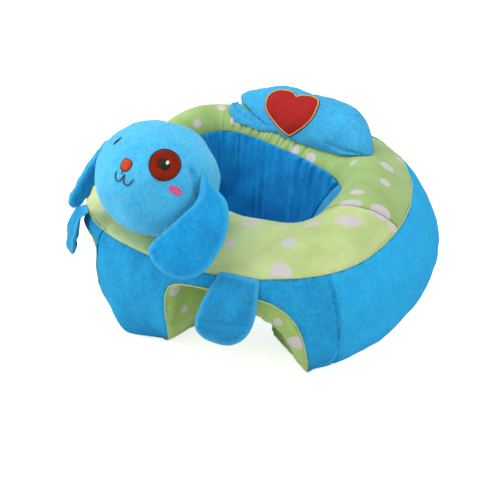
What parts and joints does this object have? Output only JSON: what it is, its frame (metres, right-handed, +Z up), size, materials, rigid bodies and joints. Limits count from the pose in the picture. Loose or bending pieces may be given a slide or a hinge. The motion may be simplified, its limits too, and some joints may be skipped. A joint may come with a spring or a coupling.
{
  "type": "plush baby floor seat",
  "caption": "Stuffed plush puppy floor seat: a ring with a seat well, leg arches beside a front pillar, a puppy head, hanging ears and paws, and a neck pillow with a heart patch.",
  "frame": {"origin": "on the floor, under the middle of the seat well", "axes": "+Z up, -Y the front where the puppy's head is, +X the object's left"},
  "size_m": [0.4716, 0.4748, 0.2618],
  "materials": {
    "blue_plush": "short-pile crystal plush, soft sheen",
    "dotted_plush_green": "soft cotton-feel cloth, mid green with off-white dots",
    "dotted_cotton_pale": "soft cotton-feel cloth, pale green with off-white dots",
    "polyester_filling": "loose polyester fibre filling",
    "orange_embroidery": "satin-stitch embroidery, red-orange",
    "dark_thread": "corded embroidery thread, dark brown",
    "brown_felt": "applique felt, red-brown",
    "black_embroidery": "satin-stitch embroidery, black",
    "white_embroidery": "satin-stitch embroidery, white",
    "pink_felt": "applique felt, pink",
    "red_satin": "satin applique, deep red",
    "gold_thread": "corded gold embroidery thread"
  },
  "bodies": {
    "seat": {"front_wall_cover": "blue_plush", "rear_wall_cover": "blue_plush", "top_cover_front": "dotted_cotton_pale", "top_cover_rear": "dotted_plush_green", "well_lining_front": "blue_plush", "well_lining_rear": "blue_plush", "arch_lining_left": "dotted_cotton_pale", "arch_lining_right": "dotted_cotton_pale", "pillar_base": "blue_plush", "ring_base": "blue_plush", "seat_base": "blue_plush", "seat_pad": "blue_plush", "filling_pillar": "polyester_filling", "filling_bridge_left": "polyester_filling", "filling_bridge_right": "polyester_filling", "filling_thigh_left": "polyester_filling", "filling_thigh_right": "polyester_filling", "filling_back": "polyester_filling", "head_front_cover": "blue_plush", "head_back_cover": "blue_plush", "head_filling": "polyester_filling", "nose": "orange_embroidery", "mouth": "dark_thread", "eye_patch": "brown_felt", "eye_left": "black_embroidery", "eye_right": "black_embroidery", "eye_glints": "white_embroidery", "cheek_spot": "pink_felt"},
    "ear_left": {"ear_left_front": "blue_plush", "ear_left_back": "blue_plush", "ear_left_filling": "polyester_filling"},
    "ear_right": {"ear_right_front": "blue_plush", "ear_right_back": "blue_plush", "ear_right_filling": "polyester_filling"},
    "paw_left": {"paw_left_front": "blue_plush", "paw_left_back": "blue_plush", "paw_left_filling": "polyester_filling"},
    "paw_right": {"paw_right_front": "blue_plush", "paw_right_back": "blue_plush", "paw_right_filling": "polyester_filling"},
    "neck_pillow": {"pillow_front_cover": "blue_plush", "pillow_back_cover": "blue_plush", "pillow_filling": "polyester_filling", "heart_patch": "red_satin", "heart_border": "gold_thread"}
  },
  "joints": [
    {"name": "ear_left_lift", "type": "hinge", "parent": "seat", "child": "ear_left", "pos_m": [0.07202, -0.15392, 0.22223], "axis": [-0.7978, -0.5511, 0.2446], "range_deg": [0, 60]},
    {"name": "ear_right_lift", "type": "hinge", "parent": "seat", "child": "ear_right", "pos_m": [-0.04927, -0.17973, 0.24313], "axis": [-0.3789, 0.9139, 0.1458], "range_deg": [0, 60]},
    {"name": "paw_left_lift", "type": "hinge", "parent": "seat", "child": "paw_left", "pos_m": [0.12797, -0.17034, 0.12915], "axis": [-0.8591, -0.4937, 0.1345], "range_deg": [0, 55]},
    {"name": "paw_right_lift", "type": "hinge", "parent": "seat", "child": "paw_right", "pos_m": [-0.12797, -0.17034, 0.12915], "axis": [-0.8591, 0.4937, -0.1345], "range_deg": [0, 55]},
    {"name": "pillow_tip", "type": "hinge", "parent": "seat", "child": "neck_pillow", "pos_m": [-0.011, 0.072, 0.19317], "axis": [0.9888, -0.1214, -0.0872], "range_deg": [0, 25]}
  ]
}
